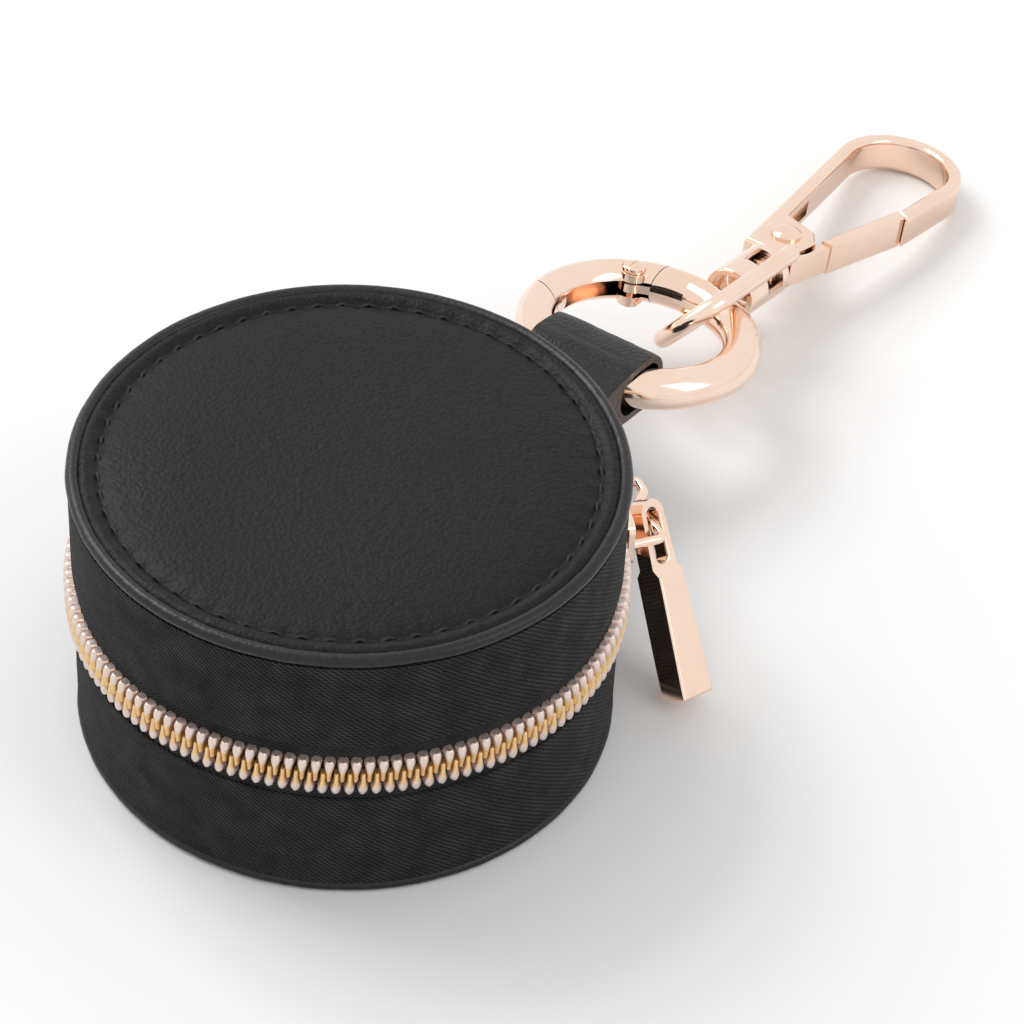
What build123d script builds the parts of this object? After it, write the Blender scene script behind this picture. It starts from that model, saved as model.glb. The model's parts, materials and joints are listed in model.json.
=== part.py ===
from build123d import *
import os
from math import acos, atan2, cos, degrees, hypot, radians, sin

os.makedirs("parts", exist_ok=True)

# A round zip-around coin purse with a leather tab, a spring-gate ring and a swivel snap hook.
# Millimetres, +Z up, origin at the centre of the base on the surface it stands on.

# Purse shell
PURSE_R = 37.4          # outside of the woven side wall
PURSE_H = 43.6          # height to the top of the upper welt
ZIP_Z = 22.8            # height of the zip's middle line and of the lid's hinge
FABRIC_T = 0.9
BOARD_T = 1.0
LINING_T = 0.6
WELT_H = 1.8            # height of each rolled edge
WELT_OUT = 0.2          # how far a welt stands out past the wall
WELT_D = 1.7            # depth of a welt from front to back
PANEL_PUFF = 1.1        # rise of the padded top from its edge to its middle
PANEL_EDGE = 0.6        # how far the top's edge lies below the welt
PAD_T = 0.6
BASE_WALL_TOP = 18.0
LID_WALL_LOW = 27.6
TAPE_T = 0.6
TAPE_GAP = 1.5          # space between the two tapes

# Zip coil
PITCH = 1.74
COIL_H = 5.8            # height of the closed chain
COIL_T = 1.5            # how far the coil stands off the tape
CORD_T = 0.8            # thickness of the cord that carries the turns
CORD_H = 1.7
TURN_W = 1.56           # a turn where it loops round the cord
NECK_W = 0.60
HEAD_W = 0.74
TIP_W = 0.50
MESH = 0.7              # how far each head reaches past the middle line
CLOSED_AZ = 36.0        # azimuth of the stop at the closed end
OPEN_AZ = 78.5          # azimuth of the stop at the open end
SLIDER_AZ = 23.0
STOP_W = 1.7

# Slider
SLIDER_HALF = 7.2       # half its length round the purse
SLIDER_H = 8.6
SLIDER_TIP_H = 7.2      # height at its narrow end
PLATE_T = 0.9
SLIDER_GAP = 0.4        # play round the coil
SLIDER_ROUND = 1.4
FLANGE_T = 0.8
FLANGE_GAP = 0.5        # from the tape's face to the flanges
NECK_Z = 1.0
NECK_L = 2.4
NECK_BACK = 0.6         # from the slider's wide end to its neck
CROWN_D = 1.4           # wire of the crown
CROWN_NEAR = (3.95, -6.6)   # the crown's corners: rise over the plate, place along it
CROWN_SADDLE = (2.64, 0.4)
CROWN_BROW = (4.9, 3.0)
CROWN_TOP = (4.9, 5.4)
CROWN_FOOT = 6.4        # where its far leg meets the plate
CROWN_SET = 1.2         # how deep its legs are set in
PULL_AT = 0.57         # where the pull rides, as a share of the way from the near corner to the saddle

# Zip pull
PULL_LEN = 28.7
PULL_W = 6.1            # width at the foot
PULL_TOP_W = 4.4
PULL_T = 4.7
EYE_T = 2.6             # thickness round the eye
EYE_SLOT_W = 2.3
EYE_SLOT_L = 8.0
EYE_WALL = 1.25
EYE_ROUND = 0.35        # rounding of the eye's rim
EYE_CLEAR = 1.1         # from the crown's wire to the top of the eye, as the pull leans
PULL_LEAN = 36.8        # from upright
PULL_LEAN_AZ = 118.2
PULL_TWIST = 21.2
PULL_ROUND = 0.45
PULL_EDGE = 0.35
EYE_SHOULDER = 0.5      # from the slot's end to the slope
EYE_SLOPE = 1.3         # length of the slope down to the thicker bar

# Hinge patch and leather tab
HINGE_AZ = 58.4
PATCH_T = 0.9
PATCH_HALF = 17.0
PATCH_LOW = 14.0
PATCH_HIGH = 28.0       # top of the narrow part that carries the fold
COVER_AZ = 22.0         # the lid's leather cover starts here, past the zip's closed end
COVER_TOP = 0.3         # from the cover's edge up to the lid's welt
FOLD_R = 0.45
FOLD_HALF = 4.0
FOLD_CLEAR = 0.1
TAB_W = 17.6
TAB_ROOT_R = 1.5
TAB_ROOT_Z = 20.6
TAB_ROOT_CLEAR = 0.15
LEATHER_T = 1.3
TUNNEL_CLEAR = 0.3
TUNNEL_RUN = 3.9        # length of the tab's fold past the ring's wire

# Spring-gate ring
RING_R = 15.7           # radius of the wire's centre line
RING_WIRE = 3.1
RING_Z = 16.0
RING_OUT = 74.8         # distance of its centre from the purse's axis
RING_TILT = 10.0
GATE_LOW_OUT = 14.0     # the seam beside the pivot, in degrees round the ring
GATE_LOW_IN = 24.0
GATE_HIGH = 103.0       # the seam at the gate's free end
PIVOT_AZ = 36.0
PIVOT_R = 14.5          # distance of the pivot from the ring's centre
SEAM = 0.15
CHANNEL_W = 2.6
GATE_SKIN = 0.9
TONGUE_T = 1.4
BOSS_R = 1.9
CHEEK_R = 2.3           # round cheeks of the gate at the pivot
CHEEK_TOP = 2.5         # half the height over the cheeks
PIN_R = 0.9
HEAD_R = 1.75
HEAD_RIM = 0.7          # straight rim of the rivet's head, under its dome
HEAD_RISE = 0.5
HEAD_SLOT = 0.5
PIN_PLAY = 0.06
SPRING_WIRE = 0.22
SPRING_PLAY = 0.15

# Swivel eye and snap hook
EYE_AZ = -15.0          # where the eye hangs on the ring
HOOK_AZ = 56.3
HOOK_DROP = 8.9         # slope of the hook as it rests on its tip
HOOK_REACH = 57.2       # from the ring's wire to the centre of the bow
EYE_DEPTH = 17.4        # from the ring's wire to the hook's end
BOW_R = 10.5
BOW_T = 2.4
HOOK_T = 5.9
HOOK_ROUND = 0.9
SEAM_X = 13.9           # from the bow's centre back to the gate's seam
SEAM_OUT = 9.9          # the gate side's outer and inner edges at the seam
SEAM_IN = 7.6
LEG_OUT = 5.4           # the leg's outer edge at the hook's end
HOOD_L = 11.9           # from the hook's end to the hood's top, and its height there
HOOD_IN = 4.4
HOOD_NOSE = (10.1, -1.6)
HOOD_CORNER = (7.6, -3.3)
HOOD_BACK = 2.4
RIVET_AT = (5.8, 1.3)   # from the hook's end, and up from its axis
FORK_SLOT = 2.6
FORK_R = 6.4
GROOVE_L = 8.5          # groove in the leg that takes the open gate
GROOVE_D = 1.3
GATE_L = 17.0           # length of the gate's full bar
GATE_BACK_OUT = 5.6     # the bar's outer and inner edges at its heel
GATE_BACK_IN = 3.7
GATE_ROUND = 0.6
HEEL_T = 4.6
HEEL_OUT = 3.5          # the heel's outer and inner edges at the hook's end
HEEL_IN = 2.75
HEEL_GAP = 0.35         # from the heel to the hood's edge
WEB_L = 5.0
RIVET_R = 1.1
RIVET_HEAD_R = 2.45
RIVET_RIM = 0.35
RIVET_RISE = 0.9
BARREL_R = 4.35
BARREL_L = 12.0
BARREL_GAP = 0.5
BARREL_WALL = 1.05
BARREL_CAP = 2.6        # thickness of the barrel's closed end
BARREL_ROUND = 1.5
BARREL_EDGE = 0.3
WINDOW_L = 4.4
WINDOW_W = 7.0
POST_R = 1.8
POST_HEAD_R = 3.0
POST_HEAD_L = 4.6
POST_RIBS = 4
RIB_DEPTH = 0.35
POST_PLAY = 0.1
POST_GAP = 0.2          # behind the post's head
ARM_R = 1.4
ARM_OFFSET = 6.8
ARM_BACK = 2.1          # from the barrel's closed end to the arms' ends
LOOP_PAST = 11.6        # from the ring's wire to the loop's far end
ARM_TURN = 38.5         # turn of the eye about its axis from upright

# Derived heights and radii
BOARD_R = PURSE_R - FABRIC_T
LINING_R = BOARD_R - BOARD_T
POCKET_R = LINING_R - LINING_T
WELT_R = PURSE_R + WELT_OUT
PANEL_R = WELT_R - WELT_D
COIL_IN = BOARD_R + TAPE_T
COIL_OUT = COIL_IN + COIL_T
COIL_LOW = ZIP_Z - COIL_H / 2
HINGE_R = PURSE_R + PATCH_T
PITCH_DEG = degrees(PITCH / (COIL_IN + COIL_T / 2))
HOOK_END = EYE_DEPTH - HOOK_REACH
HOOK_PIVOT = (HOOK_END + RIVET_AT[0], RIVET_AT[1])


def solid_ring(r_in, r_out, low, high):
    """A plain ring about the purse's axis."""
    return Pos(0, 0, low) * extrude(Circle(r_out) - Circle(r_in), high - low)


def disc(radius, low, high):
    """A plain disc about the purse's axis."""
    return Pos(0, 0, low) * extrude(Circle(radius), high - low)


def sector(r_in, r_out, low, high, az_from, az_to):
    """A stretch of a ring between two azimuths."""
    middle = Pos((r_in + r_out) / 2, (low + high) / 2)
    face = Plane.XZ * (middle * Rectangle(r_out - r_in, high - low))
    return Rot(0, 0, az_from) * revolve(face, Axis.Z, revolution_arc=az_to - az_from)


def polar(radius, azimuth):
    """A point from a radius and an angle in degrees."""
    return (radius * cos(radians(azimuth)), radius * sin(radians(azimuth)))


def cap(radius, rise, low):
    """A shallow dome that stands on a level."""
    ball = (radius * radius + rise * rise) / (2 * rise)
    return Pos(0, 0, low + rise - ball) * Sphere(ball) & disc(radius, low, low + 2 * rise)


def tube_along(points, radius, bend):
    """A round wire along straight runs with rounded corners."""
    path = FilletPolyline(*points, radius=bend)
    start = Plane(origin=path @ 0, z_dir=path % 0)
    return sweep(start * Circle(radius), path=path)


def cup(r_in, r_out, floor_low, floor_high, rim):
    """A round cup: its wall runs from the floor to the rim, up or down."""
    wall = solid_ring(r_in, r_out, min(floor_low, rim), max(floor_low, rim))
    return wall + disc(r_in, min(floor_low, floor_high), max(floor_low, floor_high))


# Purse base and lid


def make_base_wall():
    return solid_ring(BOARD_R, PURSE_R, WELT_H, BASE_WALL_TOP)


def make_base_board():
    return cup(LINING_R, BOARD_R, WELT_H, WELT_H + BOARD_T, BASE_WALL_TOP)


def make_base_lining():
    floor = WELT_H + BOARD_T
    return cup(POCKET_R, LINING_R, floor, floor + LINING_T, BASE_WALL_TOP)


def make_base_panel():
    return disc(PANEL_R, 0, WELT_H)


def welt(low):
    """A rolled edge: flat inside, half round outside."""
    nose = WELT_H / 2
    flat = WELT_R - nose - PANEL_R
    box = Pos(PANEL_R + flat / 2, low + nose) * Rectangle(flat, WELT_H)
    roll = Pos(WELT_R - nose, low + nose) * Circle(nose)
    face = Plane.XZ * (box + roll - Pos(PANEL_R - nose, low + nose) * Rectangle(2 * nose, 2 * WELT_H))
    return revolve(face, Axis.Z)


def make_base_welt():
    return welt(0)


def make_lid_welt():
    return welt(PURSE_H - WELT_H)


def make_lid_wall():
    return solid_ring(BOARD_R, PURSE_R, LID_WALL_LOW, PURSE_H - WELT_H)


def make_lid_board():
    top = PURSE_H - WELT_H - PAD_T
    ring = solid_ring(LINING_R, BOARD_R, LID_WALL_LOW, PURSE_H - WELT_H)
    return ring + disc(LINING_R, top - BOARD_T, top)


def make_lid_lining():
    top = PURSE_H - WELT_H - PAD_T - BOARD_T
    return cup(POCKET_R, LINING_R, top, top - LINING_T, LID_WALL_LOW)


def make_lid_pad():
    return disc(LINING_R, PURSE_H - WELT_H - PAD_T, PURSE_H - WELT_H)


def make_lid_panel():
    """The leather top: flat below, softly domed above."""
    low = PURSE_H - WELT_H
    edge = PURSE_H - PANEL_EDGE
    return disc(PANEL_R, low, edge) + cap(PANEL_R, PANEL_PUFF, edge)


# Zip


def tape(low, high):
    """Zip tape from the closed stop, clockwise through the front, to the open stop."""
    return sector(BOARD_R, COIL_IN, low, high, OPEN_AZ - STOP_W, CLOSED_AZ + STOP_W + 360)


def make_base_tape():
    return tape(BASE_WALL_TOP, ZIP_Z - TAPE_GAP / 2)


def make_lid_tape():
    return tape(ZIP_Z + TAPE_GAP / 2, LID_WALL_LOW)


def coil_turn():
    """One turn of the coil: a wide loop below, a neck and a head that crosses the middle line."""
    up = [(TURN_W * 0.28, COIL_LOW), (TURN_W / 2, COIL_LOW + 0.45), (TURN_W / 2, COIL_LOW + 1.05),
          (NECK_W / 2, COIL_LOW + 2.0), (HEAD_W / 2, ZIP_Z + 0.1), (TIP_W / 2, ZIP_Z + MESH)]
    outline = up + [(-x, y) for x, y in reversed(up)]
    face = Plane.YZ * make_face(Polyline(*outline, close=True))
    inner = COIL_IN + CORD_T / 2
    return Pos(inner, 0, 0) * extrude(face, COIL_OUT - inner)


def coil(first_az):
    """The cord and its turns, from the slider round the front to the hinge."""
    cord = sector(COIL_IN, COIL_IN + CORD_T, COIL_LOW, COIL_LOW + CORD_H, OPEN_AZ, CLOSED_AZ + 360)
    slider_deg = degrees(SLIDER_HALF / COIL_IN) + PITCH_DEG
    last_az = OPEN_AZ + 2 * slider_deg - 360
    count = int((first_az - last_az) / PITCH_DEG)
    turn = coil_turn()
    turns = [Rot(0, 0, first_az - i * PITCH_DEG) * turn for i in range(count)]
    return cord + turns


def coil_start():
    return SLIDER_AZ - degrees((SLIDER_HALF + PITCH / 2) / COIL_IN)


def mirrored_up(shape):
    """The same shape turned over across the zip's middle plane."""
    return mirror(shape, Plane.XY.offset(ZIP_Z))


def make_base_coil():
    return coil(coil_start())


def make_lid_coil():
    return mirrored_up(coil(coil_start() - PITCH_DEG / 2))


def make_base_stops():
    """The end stops, clamped on the tape past the last turns."""
    top = ZIP_Z - TAPE_GAP / 2
    step = degrees(STOP_W / COIL_IN)
    closed = sector(COIL_IN, COIL_OUT, COIL_LOW, top, CLOSED_AZ, CLOSED_AZ + step)
    opened = sector(COIL_IN, COIL_OUT, COIL_LOW, top, OPEN_AZ - step, OPEN_AZ)
    return closed + opened


def make_lid_stops():
    return mirrored_up(make_base_stops())


# Slider and pull


def slider_place():
    return Rot(0, 0, SLIDER_AZ)


def slider_outline():
    """Seen from outside: wide where the two tapes part, narrow where they are joined."""
    half, tall, low = SLIDER_HALF, SLIDER_H / 2, SLIDER_TIP_H / 2
    points = [(-half, -low), (half * 0.25, -tall), (half, -tall), (half, tall), (half * 0.25, tall),
              (-half, low)]
    face = make_face(Polyline(*points, close=True))
    return fillet(face.vertices(), SLIDER_ROUND)


def slider_shell(r_in, r_out):
    block = Pos(r_in - 3, 0, ZIP_Z) * extrude(Plane.YZ * slider_outline(), r_out - r_in + 6)
    return block & solid_ring(r_in, r_out, 0, PURSE_H)


def slider_radii():
    """Inner and outer faces of the back and the front plate."""
    back_out = BOARD_R - SLIDER_GAP * 1.5
    front_in = COIL_OUT + SLIDER_GAP
    return back_out - PLATE_T, back_out, front_in, front_in + PLATE_T


def make_slider_body():
    back_in, back_out, front_in, front_out = slider_radii()
    plates = slider_shell(back_in, back_out) + slider_shell(front_in, front_out)
    inner = Pos(0, 0, ZIP_Z) * extrude(
        Plane.YZ * offset(slider_outline(), -FLANGE_T), front_out + 6)
    flange = slider_shell(COIL_IN + FLANGE_GAP, front_in) - inner - mouth_cut()
    neck = Pos(0, SLIDER_HALF - NECK_L / 2 - NECK_BACK, ZIP_Z) * Box(
        2 * (front_in + 0.3), NECK_L, NECK_Z)
    neck = neck & sector(back_out - 0.3, front_in + 0.3, 0, PURSE_H, -20, 20)
    return slider_place() * (plates + flange + neck)


def mouth_cut():
    """Opens both ends of the channel, where the coil passes in and out."""
    half_h = COIL_H / 2 + SLIDER_GAP
    return Pos(0, 0, ZIP_Z) * Box(100, 4 * SLIDER_HALF, 2 * half_h)


def crown_corners():
    """Corners of the crown's wire in the slider's own frame, from the near end."""
    front_out = slider_radii()[3]
    return [(front_out + rise, along) for rise, along in (CROWN_NEAR, CROWN_SADDLE, CROWN_BROW, CROWN_TOP)]


def make_slider_crown():
    """A bent wire with a saddle that the pull rides in."""
    front_out = slider_radii()[3]
    corners = crown_corners()
    foot = front_out - CROWN_SET
    line = [(foot, corners[0][1]), *corners, (foot, CROWN_FOOT)]
    wire = tube_along([(x, y, ZIP_Z) for x, y in line], CROWN_D / 2, CROWN_D * 0.62)
    return slider_place() * (wire - disc(front_out, 0, PURSE_H))


def crown_point():
    """Where the pull's eye rides on the crown, and the wire's direction there."""
    near, saddle = crown_corners()[:2]
    x = near[0] + (saddle[0] - near[0]) * PULL_AT
    y = near[1] + (saddle[1] - near[1]) * PULL_AT
    along = Vector(near[0] - saddle[0], near[1] - saddle[1], 0).normalized()
    point = Vector(x, y, ZIP_Z).rotate(Axis.Z, SLIDER_AZ)
    return point, along.rotate(Axis.Z, SLIDER_AZ)


def pull_frame():
    """Origin on the crown's wire, +Y up the pull, +Z out of its broad face."""
    lean, az, twist = radians(PULL_LEAN), radians(PULL_LEAN_AZ), radians(PULL_TWIST)
    up = Vector(sin(lean) * cos(az), sin(lean) * sin(az), cos(lean))
    level = Vector(sin(az), -cos(az), 0)
    wide = level * cos(twist) + up.cross(level) * sin(twist)
    return Plane(origin=crown_point()[0], x_dir=wide, z_dir=wide.cross(up))


def make_zip_pull():
    """A tapered bar with a thinner, round-topped eye."""
    top = EYE_WALL + CROWN_D / 2 + EYE_CLEAR
    foot = top - PULL_LEN
    half_t, half_top, half_foot = PULL_T / 2, PULL_TOP_W / 2, PULL_W / 2
    shoulder = top - half_top
    outline = Polyline((half_top, shoulder), (half_foot, foot), (-half_foot, foot), (-half_top, shoulder))
    crest = ThreePointArc((-half_top, shoulder), (0, top), (half_top, shoulder))
    bar = extrude(make_face([*outline.edges(), crest]), half_t, both=True)
    bar = fillet(bar.edges().filter_by(Axis.Z), PULL_EDGE)
    slot_top = top - EYE_WALL
    slot_low = slot_top - EYE_SLOT_L
    step = slot_low - EYE_SHOULDER - EYE_SLOPE
    for side in (1, -1):
        cut = Polyline((side * EYE_T / 2, top + 1), (side * EYE_T / 2, slot_low - EYE_SHOULDER),
                       (side * (half_t + 0.01), step), (side * (half_t + 2), step),
                       (side * (half_t + 2), top + 1),
                       close=True)
        face = Plane(origin=(0, 0, 0), x_dir=(0, 0, 1), z_dir=(-1, 0, 0)) * make_face(cut)
        bar -= extrude(face, PULL_W, both=True)
    rounded = bar.edges().group_by(Axis.Y)[0]
    bar = fillet(rounded, PULL_ROUND)
    slot_mid = (slot_top + slot_low) / 2
    bar -= extrude(Pos(0, slot_mid) * Rot(0, 0, 90) * SlotOverall(EYE_SLOT_L, EYE_SLOT_W), PULL_T, both=True)
    inside = bar.edges().filter_by_position(Axis.X, -EYE_SLOT_W * 0.51, EYE_SLOT_W * 0.51)
    rims = inside.filter_by_position(Axis.Y, slot_low - 0.01, slot_top + 0.01)
    rims = [e for e in rims if abs(abs(e.center().Z) - EYE_T / 2) < 0.01]
    return pull_frame().location * fillet(rims, EYE_ROUND)


# Hinge patch and tab


def hinge_frame():
    """+X away from the purse at the hinge, +Y up, for profiles drawn across the tab."""
    along = Vector(*polar(1, HINGE_AZ), 0)
    side = Vector(*polar(1, HINGE_AZ + 90), 0)
    return Plane(origin=(0, 0, 0), x_dir=along, z_dir=-side)


def make_hinge_patch():
    """Leather patch on the base with the fold that the lid turns on."""
    patch = sector(PURSE_R, HINGE_R, PATCH_LOW, ZIP_Z - FOLD_R / 2,
                   HINGE_AZ - PATCH_HALF, HINGE_AZ + PATCH_HALF)
    fold = extrude(hinge_frame() * (Pos(HINGE_R, ZIP_Z) * Circle(FOLD_R)), FOLD_HALF, both=True)
    return patch + fold


def make_lid_patch():
    """Leather cover at the back of the lid: narrow at the fold, wide above the zip's closed end."""
    low = ZIP_Z + FOLD_R + FOLD_CLEAR
    top = PURSE_H - WELT_H - COVER_TOP
    narrow = sector(PURSE_R, HINGE_R, low, PATCH_HIGH, HINGE_AZ - PATCH_HALF, HINGE_AZ + PATCH_HALF)
    return narrow + sector(PURSE_R, HINGE_R, PATCH_HIGH, top, COVER_AZ, HINGE_AZ + PATCH_HALF)


def tab_root():
    """Distance and height of the line that the tab bends about."""
    return HINGE_R + TAB_ROOT_R + TAB_ROOT_CLEAR, TAB_ROOT_Z


def ring_near_wire():
    """Distance and height of the ring's wire inside the tab."""
    tilt = radians(RING_TILT)
    return RING_OUT - RING_R * cos(tilt), RING_Z + RING_R * sin(tilt)


def make_tab_loop():
    """A strap folded round the ring: a round root, a long tunnel and a round fold."""
    near = ring_near_wire()
    tilt = -RING_TILT
    run = Pos(*near) * Rot(0, 0, tilt) * Pos(TUNNEL_RUN / 2, 0)
    height = RING_WIRE + TUNNEL_CLEAR
    hole = run * SlotCenterToCenter(TUNNEL_RUN, 2 * height)
    skin = run * SlotCenterToCenter(TUNNEL_RUN, 2 * (height + LEATHER_T))
    root = Pos(*tab_root()) * Circle(TAB_ROOT_R)
    profile = make_hull([*skin.edges(), *root.edges()]) - hole
    return extrude(hinge_frame() * profile, TAB_W / 2, both=True)


# Ring


def ring_frame_plane():
    """+X down the slope away from the purse, +Y along the tab's width, origin at the ring's centre."""
    tilt = radians(RING_TILT)
    away = Vector(*polar(cos(tilt), HINGE_AZ), -sin(tilt))
    side = Vector(*polar(1, HINGE_AZ + 90), 0)
    return Plane(origin=(*polar(RING_OUT, HINGE_AZ), RING_Z), x_dir=away, z_dir=away.cross(side))


def torus(az_from, az_to):
    face = Plane.XZ * (Pos(RING_R, 0) * Circle(RING_WIRE))
    return Rot(0, 0, az_from) * revolve(face, Axis.Z, revolution_arc=az_to - az_from)


def pivot_place():
    return Pos(*polar(PIVOT_R, PIVOT_AZ), 0)


def gate_zone(gap):
    """The gate's share of the ring's plane, drawn in by a gap: a slanted seam beside the pivot, and
    at the free end an arc about the pivot, so that the gate can swing in."""
    turn = degrees(gap / RING_R)
    near = Vector(*polar(RING_R - RING_WIRE, GATE_LOW_IN + turn))
    far = Vector(*polar(RING_R + RING_WIRE, GATE_LOW_OUT + turn))
    step = far - near
    side = Vector(-step.Y, step.X)
    start, end = near - step * 4, far + step
    half = make_face(Polyline(start, end, end + side * 6, start + side * 6, close=True))
    pivot, tip = Vector(*polar(PIVOT_R, PIVOT_AZ)), Vector(*polar(RING_R, GATE_HIGH))
    swing = Pos(pivot) * Circle((tip - pivot).length - gap)
    return extrude(half & swing, 2 * RING_WIRE, both=True)


def make_ring_frame():
    """The long arc, with a tongue that carries the gate's pivot."""
    arc = torus(0, 360) - gate_zone(0)
    start = GATE_LOW_OUT - 4
    flat = Pos(PIVOT_R + SPRING_PLAY, 0) * Rectangle(2 * BOSS_R - 2 * SPRING_PLAY, TONGUE_T)
    strip = Rot(0, 0, start) * revolve(Plane.XZ * flat, Axis.Z, revolution_arc=PIVOT_AZ - start)
    boss = pivot_place() * extrude(Circle(BOSS_R), TONGUE_T / 2, both=True)
    bore = pivot_place() * extrude(Circle(PIN_R), RING_WIRE, both=True)
    return ring_frame_plane().location * (arc + strip + boss - bore)


def make_ring_gate():
    """The sprung arc: a channel, open inside, for the frame's tongue, with round cheeks at the pivot."""
    body = torus(0, 180) & gate_zone(SEAM)
    cheeks = pivot_place() * extrude(Circle(CHEEK_R), CHEEK_TOP, both=True)
    body += cheeks & disc(RING_R, -RING_WIRE, RING_WIRE)
    depth = RING_R + RING_WIRE - GATE_SKIN
    channel = sector(RING_R / 2, depth, -CHANNEL_W / 2, CHANNEL_W / 2, 0, GATE_HIGH - 9)
    bore = pivot_place() * extrude(Circle(PIN_R + PIN_PLAY), 2 * RING_WIRE, both=True)
    seat = pivot_place() * (Pos(0, 0, CHEEK_TOP) * extrude(Circle(HEAD_R + SEAM), RING_WIRE))
    return ring_frame_plane().location * (body - channel - bore - seat - mirror(seat, Plane.XY))


def rivet(shaft, head, rim, rise, seat, slot):
    """A pin with two domed heads, the upper one slotted if a slot is given."""
    pin = extrude(Circle(shaft), seat, both=True)
    upper = disc(head, seat, seat + rim) + cap(head, rise, seat + rim)
    lower = mirror(upper, Plane.XY)
    if slot:
        upper -= Pos(0, 0, seat + rim + rise) * Box(2 * head + 1, slot, rise)
    return pin + upper + lower


def make_ring_pivot():
    seat = CHEEK_TOP + PIN_PLAY
    return ring_frame_plane().location * (
        pivot_place() * rivet(PIN_R, HEAD_R, HEAD_RIM, HEAD_RISE, seat, HEAD_SLOT))


def make_ring_spring():
    """Torsion spring round the pivot, between the tongue and the channel's wall."""
    level = (TONGUE_T + CHANNEL_W) / 4
    turn = Pos(0, 0, level) * Torus(PIN_R + SPRING_PLAY + SPRING_WIRE, SPRING_WIRE)
    return ring_frame_plane().location * (pivot_place() * turn)


# Swivel eye


def eye_point():
    """The ring's centre line where the eye hangs."""
    x, y = polar(RING_R, EYE_AZ)
    return ring_frame_plane().from_local_coords(Vector(x, y, 0))


def hook_frame():
    """+X along the hook away from the ring, +Y across it, +Z out of its face; origin at the bow."""
    drop = radians(HOOK_DROP)
    along = Vector(*polar(cos(drop), HOOK_AZ), -sin(drop))
    across = Vector(*polar(1, HOOK_AZ + 90), 0)
    return Plane(origin=eye_point() + along * HOOK_REACH, x_dir=along, z_dir=along.cross(across))


def barrel_ends():
    """Ends of the barrel along the hook's axis: hook side, ring side."""
    near = HOOK_END - BARREL_GAP
    return near, near - BARREL_L


def round_bar(radius, start, end):
    """A cylinder along the hook's axis."""
    return Pos((start + end) / 2, 0, 0) * Rot(0, 90, 0) * Cylinder(radius, abs(end - start))


def make_eye_barrel():
    """A cup that holds the swivel's head, with a window on each side."""
    near, far = barrel_ends()
    floor = near - BARREL_CAP
    barrel = round_bar(BARREL_R, near, far)
    barrel = fillet(barrel.edges().group_by(Axis.X)[-1], BARREL_ROUND)
    barrel = fillet(barrel.edges().group_by(Axis.X)[0], BARREL_EDGE)
    barrel -= round_bar(BARREL_R - BARREL_WALL, floor, far - 1)
    barrel -= round_bar(POST_R + POST_PLAY, near + 1, floor - 1)
    window = Pos(floor - POST_GAP - POST_HEAD_L / 2, 0, 0) * Box(WINDOW_L, WINDOW_W, 3 * BARREL_R)
    return hook_frame().location * (barrel - Rot(ARM_TURN, 0, 0) * window)


def make_eye_loop():
    """A stirrup of round wire whose two ends are set on the barrel."""
    near, far = barrel_ends()
    arm_x = near - ARM_BACK
    bend_x = ARM_R + ARM_OFFSET - HOOK_REACH - LOOP_PAST
    out = Line((arm_x, 0, ARM_OFFSET), (bend_x, 0, ARM_OFFSET))
    arc = ThreePointArc((bend_x, 0, ARM_OFFSET), (bend_x - ARM_OFFSET, 0, 0), (bend_x, 0, -ARM_OFFSET))
    back = Line((bend_x, 0, -ARM_OFFSET), (arm_x, 0, -ARM_OFFSET))
    start = Plane(origin=(arm_x, 0, ARM_OFFSET), z_dir=(-1, 0, 0))
    wire = sweep(start * Circle(ARM_R), path=out + arc + back)
    stub = ARM_OFFSET - BARREL_R + BARREL_WALL
    for side in (1, -1):
        wire += Pos(arm_x, 0, side * ARM_OFFSET) * Sphere(ARM_R)
        wire += Pos(arm_x, 0, side * (ARM_OFFSET - stub / 2)) * Cylinder(ARM_R, stub)
    wire -= round_bar(BARREL_R, near + 2, far)
    return hook_frame().location * (Rot(ARM_TURN, 0, 0) * wire)


# Hook


def tangent_point(point, radius, side):
    """Where a line from a point touches the bow's circle; side is 1 on the leg's side, -1 on the gate's."""
    turn = degrees(atan2(point[1], point[0])) - side * degrees(acos(radius / hypot(*point)))
    return polar(radius, turn)


def seam_arc(gap):
    """Radius of the gate's seam about the rivet, from the seam's middle."""
    middle = (SEAM_OUT + SEAM_IN) / 2
    return hypot(-SEAM_X - HOOK_PIVOT[0], -middle - HOOK_PIVOT[1]) - gap


def hook_outline():
    """The hook's plate seen from above: a bow, one leg and the hood over the gate's rivet."""
    inner = BOW_R - BOW_T
    past = 3 * BOW_T
    gate_out, gate_in = (-SEAM_X - past, -SEAM_OUT + 0.3), (-SEAM_X - past, -SEAM_IN + 0.5)
    leg_out, leg_in = (HOOK_END, LEG_OUT), (HOOK_END + HOOD_L, HOOD_IN)
    touch = [tangent_point(gate_out, BOW_R, -1), tangent_point(leg_out, BOW_R, 1),
             tangent_point(leg_in, inner, 1), tangent_point(gate_in, inner, -1)]
    hood = [(HOOK_END, -HOOD_BACK), *[(HOOK_END + x, y) for x, y in (HOOD_CORNER, HOOD_NOSE)]]
    leg = Polyline(touch[1], leg_out, *hood, leg_in, touch[2])
    end = Polyline(touch[3], gate_in, gate_out, touch[0])
    edges = [*end.edges(), ThreePointArc(touch[0], (BOW_R, 0), touch[1]), *leg.edges(),
             ThreePointArc(touch[2], (inner, 0), touch[3])]
    swing = Pos(*HOOK_PIVOT) * Circle(seam_arc(0))
    half = Pos(HOOK_END, -2 * BOW_R) * Rectangle(4 * BOW_R + 60, 2 * BOW_R + 2 * GATE_BACK_OUT)
    return make_face(edges) - (swing & half)


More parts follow.
